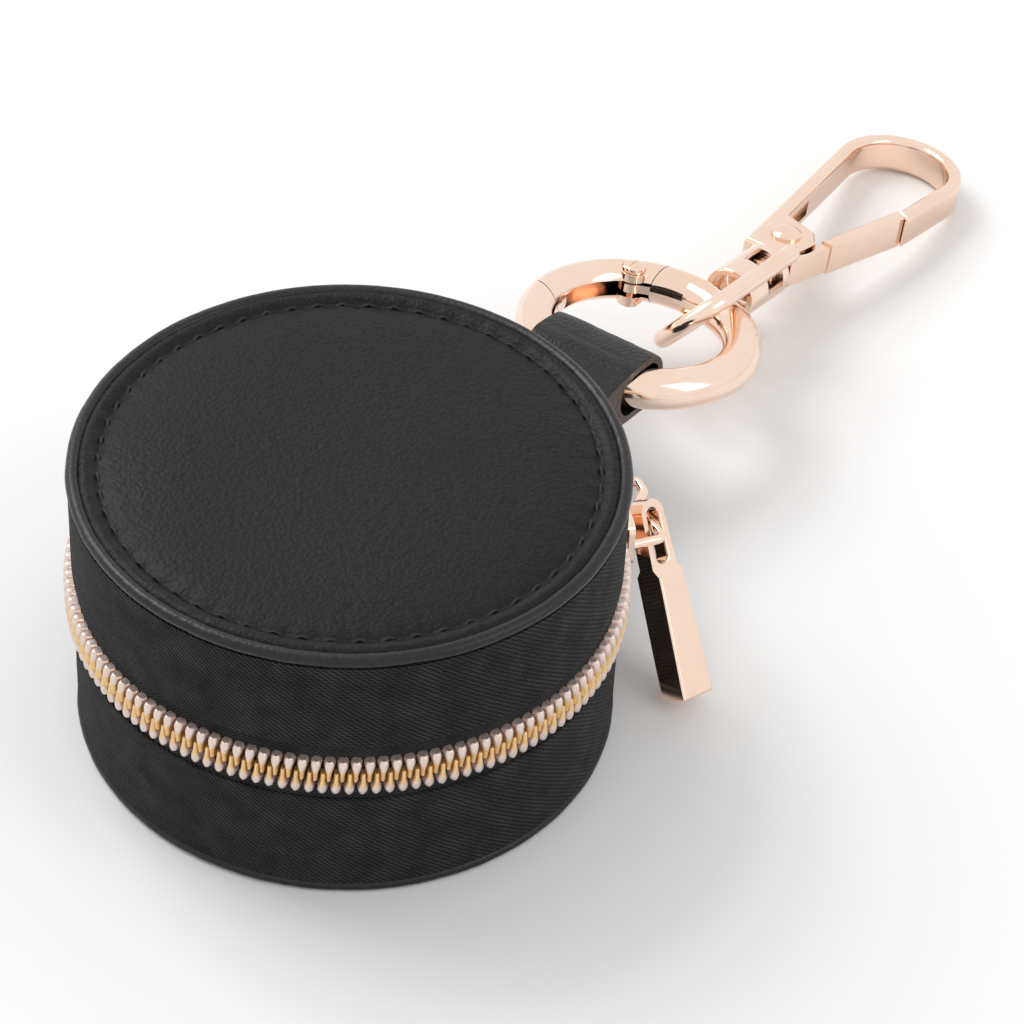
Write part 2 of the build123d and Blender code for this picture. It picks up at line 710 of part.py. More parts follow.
def make_hook_body():
    body = extrude(hook_outline(), HOOK_T / 2, both=True)
    top = HOOK_T / 2
    rims = [*body.edges().filter_by_position(Axis.Z, top - 0.01, top + 0.01),
            *body.edges().filter_by_position(Axis.Z, -top - 0.01, -top + 0.01)]
    body = fillet(rims, HOOK_ROUND)
    slot = extrude(Circle(FORK_R), FORK_SLOT / 2, both=True)
    slot -= Pos(0, FORK_R, 0) * Box(3 * FORK_R, 2 * FORK_R, HOOK_T)
    slot += extrude(Circle(RIVET_HEAD_R), FORK_SLOT / 2, both=True)
    pivot = Pos(*HOOK_PIVOT, 0)
    inside = tangent_point((HOOK_END + HOOD_L, HOOD_IN), BOW_R - BOW_T, 1)
    slope = degrees(atan2(inside[1] - HOOD_IN, inside[0] - HOOK_END - HOOD_L))
    groove = Pos(HOOK_END + HOOD_L, HOOD_IN) * Rot(0, 0, slope) * Box(2 * GROOVE_L, 2 * GROOVE_D, FORK_SLOT)
    body -= pivot * slot + groove
    body -= pivot * extrude(Circle(RIVET_R), HOOK_T, both=True)
    return hook_frame().location * body


def make_hook_gate():
    """The sprung gate: a full bar, a thinner heel and a tongue round the rivet."""
    back = GATE_L + SEAM_X
    tip = SEAM_X - BOW_T
    bar = make_face(Polyline((-tip, -SEAM_OUT), (-back, -GATE_BACK_OUT), (-back, -GATE_BACK_IN),
                             (-tip, -SEAM_IN), close=True))
    bar = extrude(bar, HOOK_T / 2, both=True)
    bar = fillet(bar.edges().filter_by(Axis.Z, reverse=True), GATE_ROUND)
    bar &= Pos(*HOOK_PIVOT, 0) * extrude(Circle(seam_arc(SEAM)), HOOK_T, both=True)
    lap = 1 - back
    edge_y = HOOD_CORNER[1] - HEEL_GAP
    heel = make_face(Polyline((lap, -GATE_BACK_OUT), (HOOK_END, -HEEL_OUT), (HOOK_END, -HEEL_IN),
                              (HOOK_END + HOOD_CORNER[0], edge_y), (lap, edge_y - HEEL_GAP), close=True))
    hood = [hypot(x - RIVET_AT[0], y - RIVET_AT[1]) for x, y in (HOOD_CORNER, HOOD_NOSE)]
    heel -= Pos(*HOOK_PIVOT) * Circle(max(hood) + SEAM)
    heel = extrude(heel, HEEL_T / 2, both=True)
    foot = make_face(Polyline((HOOK_END + HEEL_IN, -HEEL_OUT), (HOOK_END + HEEL_IN + WEB_L, edge_y),
                              (HOOK_END + HEEL_IN + WEB_L / 2, edge_y - HEEL_GAP), close=True))
    web = make_hull([*(Pos(*HOOK_PIVOT) * Circle(BOSS_R + HEEL_GAP)).edges(), *foot.edges()])
    web = extrude(web, TONGUE_T / 2, both=True)
    bore = Pos(*HOOK_PIVOT, 0) * extrude(Circle(RIVET_R + PIN_PLAY), HOOK_T, both=True)
    return hook_frame().location * (bar + heel + (web - bore))


def make_gate_rivet():
    return hook_frame().location * (
        Pos(*HOOK_PIVOT, 0) * rivet(RIVET_R, RIVET_HEAD_R, RIVET_RIM, RIVET_RISE, HOOK_T / 2, 0))


def make_gate_spring():
    level = (TONGUE_T + FORK_SLOT) / 4
    turn = Pos(0, 0, level) * Torus(RIVET_R + SPRING_PLAY + SPRING_WIRE, SPRING_WIRE)
    return hook_frame().location * (Pos(*HOOK_PIVOT, 0) * turn)


def make_swivel_post():
    """The hook's neck and its ribbed head inside the barrel."""
    seat = barrel_ends()[0] - BARREL_CAP - POST_GAP
    post = round_bar(POST_R, HOOK_END, seat)
    step = POST_HEAD_L / (2 * POST_RIBS - 1)
    post += round_bar(POST_HEAD_R - RIB_DEPTH, seat, seat - POST_HEAD_L)
    for i in range(POST_RIBS):
        start = seat - 2 * i * step
        post += round_bar(POST_HEAD_R, start, start - step)
    return hook_frame().location * post


PARTS = {
    "base_wall": make_base_wall,
    "base_board": make_base_board,
    "base_lining": make_base_lining,
    "base_panel": make_base_panel,
    "base_welt": make_base_welt,
    "base_tape": make_base_tape,
    "base_coil": make_base_coil,
    "base_stops": make_base_stops,
    "hinge_patch": make_hinge_patch,
    "lid_wall": make_lid_wall,
    "lid_board": make_lid_board,
    "lid_lining": make_lid_lining,
    "lid_pad": make_lid_pad,
    "lid_panel": make_lid_panel,
    "lid_welt": make_lid_welt,
    "lid_tape": make_lid_tape,
    "lid_coil": make_lid_coil,
    "lid_stops": make_lid_stops,
    "lid_patch": make_lid_patch,
    "slider_body": make_slider_body,
    "slider_crown": make_slider_crown,
    "zip_pull": make_zip_pull,
    "tab_loop": make_tab_loop,
    "ring_frame": make_ring_frame,
    "ring_gate": make_ring_gate,
    "ring_pivot": make_ring_pivot,
    "ring_spring": make_ring_spring,
    "eye_loop": make_eye_loop,
    "eye_barrel": make_eye_barrel,
    "hook_body": make_hook_body,
    "hook_gate": make_hook_gate,
    "gate_rivet": make_gate_rivet,
    "gate_spring": make_gate_spring,
    "swivel_post": make_swivel_post,
}

for name, make in PARTS.items():
    export_step(make(), f"parts/{name}.step")
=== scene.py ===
import math
import json
import bpy
import bmesh
from mathutils import Vector, Matrix, geometry, noise


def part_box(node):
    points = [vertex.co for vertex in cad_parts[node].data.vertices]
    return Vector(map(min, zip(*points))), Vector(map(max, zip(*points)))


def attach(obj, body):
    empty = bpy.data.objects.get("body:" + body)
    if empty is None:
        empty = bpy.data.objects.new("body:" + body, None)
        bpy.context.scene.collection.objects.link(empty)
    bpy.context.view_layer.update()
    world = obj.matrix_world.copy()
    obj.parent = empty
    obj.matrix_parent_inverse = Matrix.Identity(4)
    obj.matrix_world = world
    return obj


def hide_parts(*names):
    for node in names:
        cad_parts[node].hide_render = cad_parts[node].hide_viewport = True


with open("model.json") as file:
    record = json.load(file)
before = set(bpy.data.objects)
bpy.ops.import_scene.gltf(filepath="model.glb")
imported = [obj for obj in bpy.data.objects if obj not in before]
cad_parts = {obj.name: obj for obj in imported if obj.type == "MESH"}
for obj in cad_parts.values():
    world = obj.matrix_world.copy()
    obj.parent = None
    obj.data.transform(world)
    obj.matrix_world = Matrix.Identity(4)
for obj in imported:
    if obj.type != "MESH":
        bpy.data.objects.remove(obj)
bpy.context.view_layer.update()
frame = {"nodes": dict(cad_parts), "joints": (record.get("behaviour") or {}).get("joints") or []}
nodes = frame["nodes"]
joints = {j["name"]: j for j in frame["joints"]}
mm = 0.001
print("frame loaded")


# places taken from the frame
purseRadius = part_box("base_wall")[1].x
zipHeight = joints["lid_hinge"]["pos_m"][2]
hingePoint = Vector(joints["lid_hinge"]["pos_m"])
hingeTurn = math.atan2(hingePoint.y, hingePoint.x)
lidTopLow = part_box("lid_panel")[0].z
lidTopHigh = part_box("lid_panel")[1].z
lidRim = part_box("lid_welt")[1].z
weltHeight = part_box("base_welt")[1].z
tabRoot = Vector(joints["tab_flex"]["pos_m"])
ringCentre = Vector(joints["ring_turn"]["pos_m"])
ringNormal = Vector(joints["ring_turn"]["axis"])
ringReach = 15.7 * mm


# small helpers
def clearSelection():
    if bpy.context.mode != "OBJECT":
        bpy.ops.object.mode_set(mode="OBJECT")
    bpy.ops.object.select_all(action="DESELECT")


def makeActive(piece):
    clearSelection()
    piece.select_set(True)
    bpy.context.view_layer.objects.active = piece


def tidyMesh(piece, angle=40):
    makeActive(piece)
    bpy.ops.object.mode_set(mode="EDIT")
    bpy.ops.mesh.select_all(action="SELECT")
    bpy.ops.mesh.remove_doubles(threshold=0.002 * mm)
    bpy.ops.mesh.normals_make_consistent(inside=False)
    bpy.ops.object.mode_set(mode="OBJECT")
    bpy.ops.object.shade_smooth_by_angle(angle=math.radians(angle))


def addModifier(piece, kind, **settings):
    makeActive(piece)
    modifier = piece.modifiers.new(kind.title(), kind)
    for key, value in settings.items():
        setattr(modifier, key, value)
    bpy.ops.object.modifier_apply(modifier=modifier.name)


def dress(piece, material, body, slotName, *stoodFor):
    piece.data.materials.clear()
    piece.data.materials.append(material)
    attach(piece, body)
    if stoodFor:
        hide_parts(*stoodFor)
    return piece


def lathe(name, profile, steps=192, start=0.0, sweep=2 * math.pi):
    # a profile of radius and height in metres, spun about the purse's axis
    clearSelection()
    bpy.ops.mesh.primitive_plane_add(size=mm)
    piece = bpy.context.object
    piece.name = name
    bpy.ops.object.mode_set(mode="EDIT")
    bpy.ops.mesh.select_all(action="SELECT")
    bpy.ops.mesh.merge(type="CENTER")
    out = Vector((math.cos(start), math.sin(start), 0))
    radius, height = profile[0]
    bpy.ops.transform.translate(value=out * radius + Vector((0, 0, height)))
    for newRadius, newHeight in profile[1:]:
        step = out * (newRadius - radius) + Vector((0, 0, newHeight - height))
        bpy.ops.mesh.extrude_region_move(TRANSFORM_OT_translate={"value": step})
        radius, height = newRadius, newHeight
    bpy.ops.mesh.select_all(action="SELECT")
    bpy.ops.mesh.spin(steps=steps, angle=-sweep, center=(0, 0, 0), axis=(0, 0, 1))
    bpy.ops.mesh.select_all(action="SELECT")
    bpy.ops.mesh.remove_doubles(threshold=0.002 * mm)
    if sweep < 2 * math.pi - 0.01:
        bpy.ops.mesh.fill_holes(sides=0)
        bpy.ops.mesh.select_all(action="SELECT")
    bpy.ops.mesh.normals_make_consistent(inside=False)
    bpy.ops.object.mode_set(mode="OBJECT")
    return piece


def moveVertices(piece, rule):
    # rule takes a point and gives its new place
    mesh = bmesh.new()
    mesh.from_mesh(piece.data)
    for vertex in mesh.verts:
        vertex.co = rule(vertex.co.copy())
    mesh.to_mesh(piece.data)
    mesh.free()
    piece.data.update()


def wrapMap(piece, radius):
    # a UV map in millimetres: round the purse and up, or across a level face
    mesh = bmesh.new()
    mesh.from_mesh(piece.data)
    for old in list(mesh.loops.layers.uv.values()):
        mesh.loops.layers.uv.remove(old)
    layer = mesh.loops.layers.uv.new("cloth")
    for face in mesh.faces:
        middle = math.atan2(face.calc_center_median().y, face.calc_center_median().x)
        for loop in face.loops:
            turn = math.atan2(loop.vert.co.y, loop.vert.co.x)
            while turn - middle > math.pi:
                turn -= 2 * math.pi
            while turn - middle < -math.pi:
                turn += 2 * math.pi
            level = loop.vert.co.z - Vector(loop.vert.co.xy).length + radius
            loop[layer].uv = (turn * radius / mm, level / mm)
    mesh.to_mesh(piece.data)
    mesh.free()


# materials
class Recipe:
    def __init__(self, name):
        self.material = bpy.data.materials.new(name)
        self.material.use_nodes = True
        self.tree = self.material.node_tree
        self.shader = self.tree.nodes["Principled BSDF"]
        self.coords = self.tree.nodes.new("ShaderNodeTexCoord")

    def node(self, kind, inputs=None, **settings):
        made = self.tree.nodes.new("ShaderNode" + kind)
        for key, value in settings.items():
            setattr(made, key, value)
        for key, value in (inputs or {}).items():
            if isinstance(value, bpy.types.NodeSocket):
                self.tree.links.new(value, made.inputs[key])
            else:
                made.inputs[key].default_value = value
        return made

    def link(self, output, name):
        self.tree.links.new(output, self.shader.inputs[name])

    def set(self, **values):
        for key, value in values.items():
            self.shader.inputs[key.replace("_", " ")].default_value = value

    def mix(self, factor, low, high):
        # two colours mixed by a factor
        made = self.node("Mix", data_type="RGBA")
        self.tree.links.new(factor, made.inputs[0])
        for socket, value in ((made.inputs[6], low), (made.inputs[7], high)):
            if isinstance(value, bpy.types.NodeSocket):
                self.tree.links.new(value, socket)
            else:
                socket.default_value = (*value, 1)
        return made.outputs[2]

    def spread(self, value, low, high, newLow, newHigh):
        made = self.node("MapRange", {0: value, 1: low, 2: high, 3: newLow, 4: newHigh})
        return made.outputs[0]

    def math(self, operation, first, second=0.0):
        return self.node("Math", {0: first, 1: second}, operation=operation).outputs[0]

    def bump(self, layers):
        # layers of height, each with its depth in metres
        normal = None
        for height, depth in layers:
            inputs = {"Height": height, "Distance": depth, "Strength": 1.0}
            if normal is not None:
                inputs["Normal"] = normal
            normal = self.node("Bump", inputs).outputs[0]
        self.link(normal, "Normal")


leatherLook = {"grain": 1900, "creases": 520, "grainDepth": 0.07 * mm, "creaseDepth": 0.07 * mm,
               "dark": (0.0025, 0.0025, 0.003), "light": (0.009, 0.0088, 0.0095)}


def makeLeather(name, shine=0.46, grainDepth=1.0, gloss=0.2, rawEdge=False):
    recipe = Recipe(name)
    place = recipe.coords.outputs["Object"]
    warp = recipe.node("TexNoise", {"Vector": place, "Scale": 260.0, "Detail": 3.0})
    moved = recipe.node("VectorMath", {0: warp.outputs["Color"], "Scale": 0.0012}, operation="SCALE")
    warped = recipe.node("VectorMath", {0: place, 1: moved.outputs[0]}, operation="ADD").outputs[0]
    cells = recipe.node("TexVoronoi", {"Vector": warped, "Scale": float(leatherLook["grain"])},
                        feature="SMOOTH_F1")
    pebbles = recipe.spread(cells.outputs["Distance"], 0.1, 0.75, 1.0, 0.0)
    folds = recipe.node("TexNoise", {"Vector": warped, "Scale": float(leatherLook["creases"]), "Detail": 6.0,
                                     "Roughness": 0.62})
    wide = recipe.node("TexNoise", {"Vector": place, "Scale": 45.0, "Detail": 3.0})
    recipe.bump([(folds.outputs["Fac"], leatherLook["creaseDepth"] * grainDepth),
                 (pebbles, leatherLook["grainDepth"] * grainDepth)])
    tone = recipe.mix(recipe.spread(pebbles, 0.0, 1.0, 0.0, 1.0), leatherLook["dark"], leatherLook["light"])
    recipe.link(tone, "Base Color")
    recipe.link(recipe.spread(wide.outputs["Fac"], 0.3, 0.7, shine - 0.05, shine + 0.08), "Roughness")
    recipe.set(Specular_IOR_Level=gloss)
    if rawEdge:
        raw = recipe.node("Attribute", attribute_name="raw")
        recipe.link(recipe.mix(raw.outputs["Fac"], tone, (0.05, 0.028, 0.018)), "Base Color")
    return recipe.material


twillLook = {"rib": 0.95, "thread": 0.5, "depth": 0.24 * mm, "dark": (0.0025, 0.0025, 0.003),
             "light": (0.055, 0.054, 0.056)}


def makeTwill(name, slant=1.0, scale=1.0):
    # diagonal ribs crossed by single threads, on a map in millimetres
    recipe = Recipe(name)
    split = recipe.node("SeparateXYZ", {0: recipe.coords.outputs["UV"]})
    across, up = split.outputs[0], split.outputs[1]
    jitter = recipe.node("TexNoise", {"Vector": recipe.coords.outputs["UV"], "Scale": 0.9, "Detail": 4.0})
    shift = recipe.math("MULTIPLY", jitter.outputs["Fac"], 0.7)
    diagonal = recipe.math("ADD", recipe.math("MULTIPLY", up, 1.25 * slant), across)
    diagonal = recipe.math("ADD", diagonal, shift)
    ribs = recipe.math("SINE", recipe.math("MULTIPLY", diagonal, 2 * math.pi / (twillLook["rib"] * scale)))
    threads = recipe.math("SINE", recipe.math("MULTIPLY", up, 2 * math.pi / (twillLook["thread"] * scale)))
    weave = recipe.math("ADD", ribs, recipe.math("MULTIPLY", threads, 0.45))
    height = recipe.spread(weave, -1.3, 1.3, 0.0, 1.0)
    fuzz = recipe.node("TexNoise", {"Vector": recipe.coords.outputs["UV"], "Scale": 7.0, "Detail": 5.0})
    recipe.bump([(fuzz.outputs["Fac"], 0.1 * mm), (height, twillLook["depth"] * scale)])
    patchy = recipe.node("TexNoise", {"Vector": recipe.coords.outputs["UV"], "Scale": 0.25, "Detail": 3.0})
    lively = recipe.math("MULTIPLY", height, recipe.spread(patchy.outputs["Fac"], 0.3, 0.7, 0.35, 1.1))
    recipe.link(recipe.mix(lively, twillLook["dark"], twillLook["light"]), "Base Color")
    recipe.link(recipe.spread(fuzz.outputs["Fac"], 0.3, 0.7, 0.62, 0.85), "Roughness")
    recipe.set(Specular_IOR_Level=0.12, Sheen_Weight=0.03, Sheen_Roughness=0.4)
    return recipe.material


metalLook = {"bright": (0.93, 0.73, 0.60), "deep": (0.90, 0.66, 0.52), "roughness": 0.10}


def makeRoseGold(name):
    recipe = Recipe(name)
    place = recipe.coords.outputs["Object"]
    cloud = recipe.node("TexNoise", {"Vector": place, "Scale": 90.0, "Detail": 4.0})
    fine = recipe.node("TexNoise", {"Vector": place, "Scale": 2600.0, "Detail": 2.0})
    recipe.link(recipe.mix(recipe.spread(cloud.outputs["Fac"], 0.35, 0.7, 0.0, 1.0), metalLook["deep"],
                           metalLook["bright"]), "Base Color")
    rough = metalLook["roughness"]
    recipe.link(recipe.spread(cloud.outputs["Fac"], 0.3, 0.7, rough - 0.03, rough + 0.05), "Roughness")
    recipe.bump([(fine.outputs["Fac"], 0.0012 * mm)])
    recipe.set(Metallic=1.0)
    return recipe.material


def makeSteel(name):
    recipe = Recipe(name)
    drawn = recipe.node("TexNoise", {"Vector": recipe.coords.outputs["Object"], "Scale": 3000.0,
                                     "Detail": 3.0})
    recipe.link(recipe.spread(drawn.outputs["Fac"], 0.3, 0.7, 0.22, 0.4), "Roughness")
    recipe.link(recipe.mix(drawn.outputs["Fac"], (0.45, 0.45, 0.46), (0.7, 0.7, 0.7)), "Base Color")
    recipe.set(Metallic=1.0)
    return recipe.material


# the pale second colour is a painted reflection for the coil's loops; the coil itself is gold throughout
coilLook = {"gold": (0.86, 0.60, 0.30), "paintedReflection": (0.80, 0.66, 0.60), "half": 1.35 * mm}


def makeCoilPlastic(name):
    # gold where the turns mesh; where they loop round the cord, away from the zip line, a pale painted
    # reflection colour
    recipe = Recipe(name)
    split = recipe.node("SeparateXYZ", {0: recipe.coords.outputs["Object"]})
    away = recipe.math("ABSOLUTE", recipe.math("SUBTRACT", split.outputs[2], zipHeight))
    share = recipe.node("MapRange", {0: away, 1: coilLook["half"] * 0.75, 2: coilLook["half"] * 1.15, 3: 0.0,
                                     4: 1.0}, interpolation_type="SMOOTHSTEP").outputs[0]
    speck = recipe.node("TexNoise", {"Vector": recipe.coords.outputs["Object"], "Scale": 1400.0,
                                     "Detail": 4.0})
    # gold coil colour in the middle, fading to the pale painted reflection on the loops
    recipe.link(recipe.mix(share, coilLook["gold"], coilLook["paintedReflection"]), "Base Color")
    recipe.link(recipe.spread(speck.outputs["Fac"], 0.3, 0.7, 0.22, 0.42), "Roughness")
    recipe.bump([(speck.outputs["Fac"], 0.03 * mm)])
    recipe.set(Metallic=0.75)
    return recipe.material


def makePlainStuff(name, low, high, scale, rough, depth):
    # card, foam and thread: a fine mottled surface
    recipe = Recipe(name)
    speck = recipe.node("TexNoise", {"Vector": recipe.coords.outputs["Object"], "Scale": float(scale),
                                     "Detail": 5.0})
    recipe.link(recipe.mix(speck.outputs["Fac"], low, high), "Base Color")
    recipe.link(recipe.spread(speck.outputs["Fac"], 0.3, 0.7, rough - 0.06, rough + 0.06), "Roughness")
    recipe.bump([(speck.outputs["Fac"], depth)])
    return recipe.material


leather = makeLeather("blackLeather")
glossLeather = makeLeather("bindingLeather", shine=0.34, grainDepth=0.5, gloss=0.4)
strapLeather = makeLeather("strapLeather", shine=0.40, gloss=0.35, rawEdge=True)
twill = makeTwill("blackTwill")
tapeCloth = makeTwill("zipTapeCloth", slant=-1.0, scale=0.7)
liningCloth = makeTwill("liningCloth", slant=1.0, scale=0.45)
roseGold = makeRoseGold("roseGold")
springSteel = makeSteel("springSteel")
coilPlastic = makeCoilPlastic("metallisedCoil")
thread = makePlainStuff("blackThread", (0.004, 0.004, 0.004), (0.02, 0.02, 0.021), 2500, 0.6, 0.05 * mm)
card = makePlainStuff("stiffCard", (0.18, 0.15, 0.12), (0.32, 0.27, 0.22), 900, 0.8, 0.03 * mm)
foam = makePlainStuff("paddingFoam", (0.16, 0.16, 0.16), (0.26, 0.26, 0.25), 1800, 0.9, 0.08 * mm)
print("materials made")


# lid top: padded leather with a sewn groove
lidTop = {"groove": 33.3 * mm, "grooveDepth": 0.75 * mm, "grooveHalf": 0.75 * mm, "edge": 36.1 * mm,
          "stitches": 58, "pucker": 0.16 * mm}


def lidTopProfile():
    low, high = lidTopLow + 0.05 * mm, lidTopHigh
    groove = lidTop["groove"]
    grooveZ = lidRim - lidTop["grooveDepth"]
    points = []
    for i in range(26):
        share = i / 25
        radius = (groove - lidTop["grooveHalf"]) * share
        fall = (high - grooveZ - 0.25 * mm) * (share ** 7 * 0.75 + share ** 2 * 0.25)
        points.append((radius, high - fall))
    half = lidTop["grooveHalf"]
    points += [(groove - half * 0.6, grooveZ + 0.14 * mm), (groove - half * 0.25, grooveZ + 0.02 * mm),
               (groove, grooveZ), (groove + half * 0.3, grooveZ + 0.05 * mm),
               (groove + half * 0.65, grooveZ + 0.24 * mm), (groove + half, grooveZ + 0.42 * mm)]
    bandTop = lidRim - 0.05 * mm
    points += [(groove + 1.15 * mm, bandTop - 0.12 * mm), (groove + 1.6 * mm, bandTop),
               (groove + 2.1 * mm, bandTop - 0.05 * mm), (groove + 2.5 * mm, bandTop - 0.3 * mm),
               (lidTop["edge"], bandTop - 0.62 * mm)]
    points += [(lidTop["edge"], low + 0.4 * mm), (lidTop["edge"] - 0.4 * mm, low), (20 * mm, low), (0, low)]
    return points


def puckerLid(point):
    radius = Vector(point.xy).length
    if radius < 1 * mm or point.z < lidTopLow + 0.3 * mm:
        return point
    turn = math.atan2(point.y, point.x)
    near = math.exp(-((radius - lidTop["groove"]) / (1.9 * mm)) ** 2)
    wave = math.cos(turn * lidTop["stitches"]) * 0.5 + 0.5
    uneven = noise.noise(Vector((point.x, point.y, 0)) * 170)
    uneven = uneven + 0.6 * noise.noise(Vector((point.x, point.y, 1)) * 420)
    soft = noise.noise(Vector((point.x, point.y, 3)) * 55)
    point.z -= lidTop["pucker"] * near * (wave * 0.9 + uneven * 0.9)
    point.z += 0.10 * mm * soft * (1 - near) * min(1, radius / (10 * mm))
    return point


def makeLidTop():
    piece = lathe("lidTop", lidTopProfile(), steps=348)
    moveVertices(piece, puckerLid)
    tidyMesh(piece, 70)
    dress(piece, leather, "lid", "leather", "lid_panel")


def roundSection(centreRadius, centreHeight, across, up, count=14):
    return [(centreRadius + across * math.cos(2 * math.pi * i / count),
             centreHeight + up * math.sin(2 * math.pi * i / count)) for i in range(count)] + [
            (centreRadius + across, centreHeight)]


welt = {"half": 0.95 * mm, "wobble": 0.07 * mm}


def makeWelt(name, level, body, stoodFor):
    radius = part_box(stoodFor)[1].x - welt["half"]
    piece = lathe(name, roundSection(radius, level, welt["half"], weltHeight / 2), steps=288)

    def roll(point):
        out = Vector((point.x, point.y, 0)).normalized()
        turn = math.atan2(point.y, point.x)
        ripple = noise.noise(Vector((math.cos(turn) * 9, math.sin(turn) * 9, point.z * 300)))
        ripple += 0.5 * noise.noise(Vector((math.cos(turn) * 34, math.sin(turn) * 34, 5)))
        return point - out * welt["wobble"] * (0.5 + ripple)

    moveVertices(piece, roll)
    tidyMesh(piece, 70)
    return dress(piece, glossLeather, body, "leather", stoodFor)


# stitches: one thread stitch, copied round the lid
stitch = {"length": 2.5 * mm, "thick": 0.52 * mm, "slant": 7}


def makeStitch():
    clearSelection()
    bpy.ops.mesh.primitive_cylinder_add(vertices=8, radius=stitch["thick"] / 2, depth=stitch["length"],
                                        rotation=(math.pi / 2, 0, 0))
    piece = bpy.context.object
    bpy.ops.object.transform_apply(location=True, rotation=True, scale=True)
    bpy.ops.object.mode_set(mode="EDIT")
    bpy.ops.mesh.select_all(action="SELECT")
    bpy.ops.mesh.bevel(offset=stitch["thick"] * 0.3, segments=1)
    bpy.ops.mesh.subdivide(number_cuts=1)
    bpy.ops.object.mode_set(mode="OBJECT")
    moveVertices(piece, lambda p: Vector((p.x, p.y, p.z - 1.4 * (p.y * p.y) / (3.2 * mm))))
    return piece


def copyPiece(piece):
    copied = piece.copy()
    copied.data = piece.data.copy()
    bpy.context.scene.collection.objects.link(copied)
    return copied


def placeMesh(piece, matrix):
    piece.data.transform(matrix)


def joinPieces(name, pieces):
    clearSelection()
    for piece in pieces:
        piece.select_set(True)
    bpy.context.view_layer.objects.active = pieces[0]
    bpy.ops.object.join()
    pieces[0].name = name
    return pieces[0]


def makeLidStitches():
    first = makeStitch()
    made = []
    count = lidTop["stitches"]
    height = lidRim - lidTop["grooveDepth"] + 0.24 * mm
    for i in range(count):
        copied = copyPiece(first)
        turn = 2 * math.pi * (i + 0.5) / count
        lean = math.radians(stitch["slant"] + 4 * math.sin(i * 2.4))
        matrix = (Matrix.Rotation(turn, 4, "Z") @ Matrix.Translation((lidTop["groove"], 0, height))
                  @ Matrix.Rotation(lean, 4, "Z"))
        placeMesh(copied, matrix)
        made.append(copied)
    bpy.data.objects.remove(first)
    piece = joinPieces("lidStitches", made)
    tidyMesh(piece, 60)
    return dress(piece, thread, "lid", "leather")


# cloth sides, with their edges turned in beside the zip tape
cloth = {"thickness": 0.9 * mm, "hem": 0.55 * mm, "slack": 0.10 * mm}


def sideProfile(low, high, hemAtTop):
    inner, outer = purseRadius - cloth["thickness"], purseRadius
    rows = 22
    side = [(outer, low + (high - low) * i / rows) for i in range(rows + 1)]
    hem = cloth["hem"]
    rim = [(outer - 0.1 * mm, high), (outer - hem * 0.5, high + 0.03 * mm), (inner, high)]
    if not hemAtTop:
        side = [(radius, low + high - height) for radius, height in side]
        rim = [(radius, low + high - height) for radius, height in rim]
    end = side[0][1]
    return side[:-1] + [(outer - 0.02 * mm, side[-1][1] + (-1 if hemAtTop else 1) * 0.12 * mm)] + rim + [
        (inner, end), side[0]]


def makeSide(name, node, body, hemAtTop, seed):
    low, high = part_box(node)[0].z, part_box(node)[1].z
    piece = lathe(name, sideProfile(low, high, hemAtTop), steps=240)

    def sag(point):
        radius = Vector(point.xy).length
        if radius < purseRadius - 0.5 * cloth["thickness"]:
            return point
        share = (point.z - low) / (high - low)
        out = Vector((point.x, point.y, 0)) / radius
        turn = math.atan2(point.y, point.x)
        ease = math.sin(math.pi * min(1, max(0, share)))
        loose = noise.noise(Vector((math.cos(turn) * 2.6, math.sin(turn) * 2.6, share * 1.6 + seed)))
        fine = noise.noise(Vector((math.cos(turn) * 9, math.sin(turn) * 9, share * 3 + seed)))
        return point + out * ease * (cloth["slack"] * (loose * 1.3 + fine * 0.5) - 0.5 * cloth["slack"])

    moveVertices(piece, sag)
    tidyMesh(piece, 60)
    wrapMap(piece, purseRadius)
    dress(piece, twill, body, "twill", node)


# zip tapes
tapeLook = {"from": 76.8, "to": 397.8, "thickness": 0.6 * mm, "rib": 0.12 * mm}


def makeTape(name, node, body):
    low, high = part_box(node)[0].z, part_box(node)[1].z
    inner = purseRadius - cloth["thickness"]
    outer = inner + tapeLook["thickness"]
    rib = tapeLook["rib"]
    rows = 9
    face = []
    for i in range(rows + 1):
        share = i / rows
        face.append((outer - (rib if i % 2 else 0) * 0.5, low + (high - low) * share))
    profile = [(inner, low), *face, (inner, high), (inner, low)]
    start, end = math.radians(tapeLook["from"]), math.radians(tapeLook["to"])
    piece = lathe(name, profile, steps=180, start=start, sweep=end - start)
    tidyMesh(piece, 50)
    wrapMap(piece, outer)
    return dress(piece, tapeCloth, body, "tape", node)


# lining, with a turned edge
def makeLining(name, node, body, opensUp):
    low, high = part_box(node)
    outer = high.x
    thick = 0.6 * mm
    rim, floor = (high.z, low.z) if opensUp else (low.z, high.z)
    up = 1 if opensUp else -1
    profile = [(0, floor + up * thick), (outer * 0.5, floor + up * (thick + 0.05 * mm)),
               (outer - thick - 1.6 * mm, floor + up * thick),
               (outer - thick - 0.35 * mm, floor + up * (thick + 0.3 * mm)),
               (outer - thick, floor + up * (thick + 1.4 * mm)), (outer - thick, rim - up * 1.2 * mm),
               (outer - thick - 0.12 * mm, rim - up * 0.9 * mm),
               (outer - thick - 0.05 * mm, rim - up * 0.2 * mm),
               (outer - thick / 2, rim), (outer, rim - up * 0.15 * mm), (outer, floor), (outer * 0.5, floor),
               (0, floor)]
    piece = lathe(name, profile, steps=144)
    moveVertices(piece, lambda p: p + Vector((0, 0, 0.12 * mm * noise.noise(p * 90))))
    tidyMesh(piece, 50)
    wrapMap(piece, outer)
    dress(piece, liningCloth, body, "lining", node)


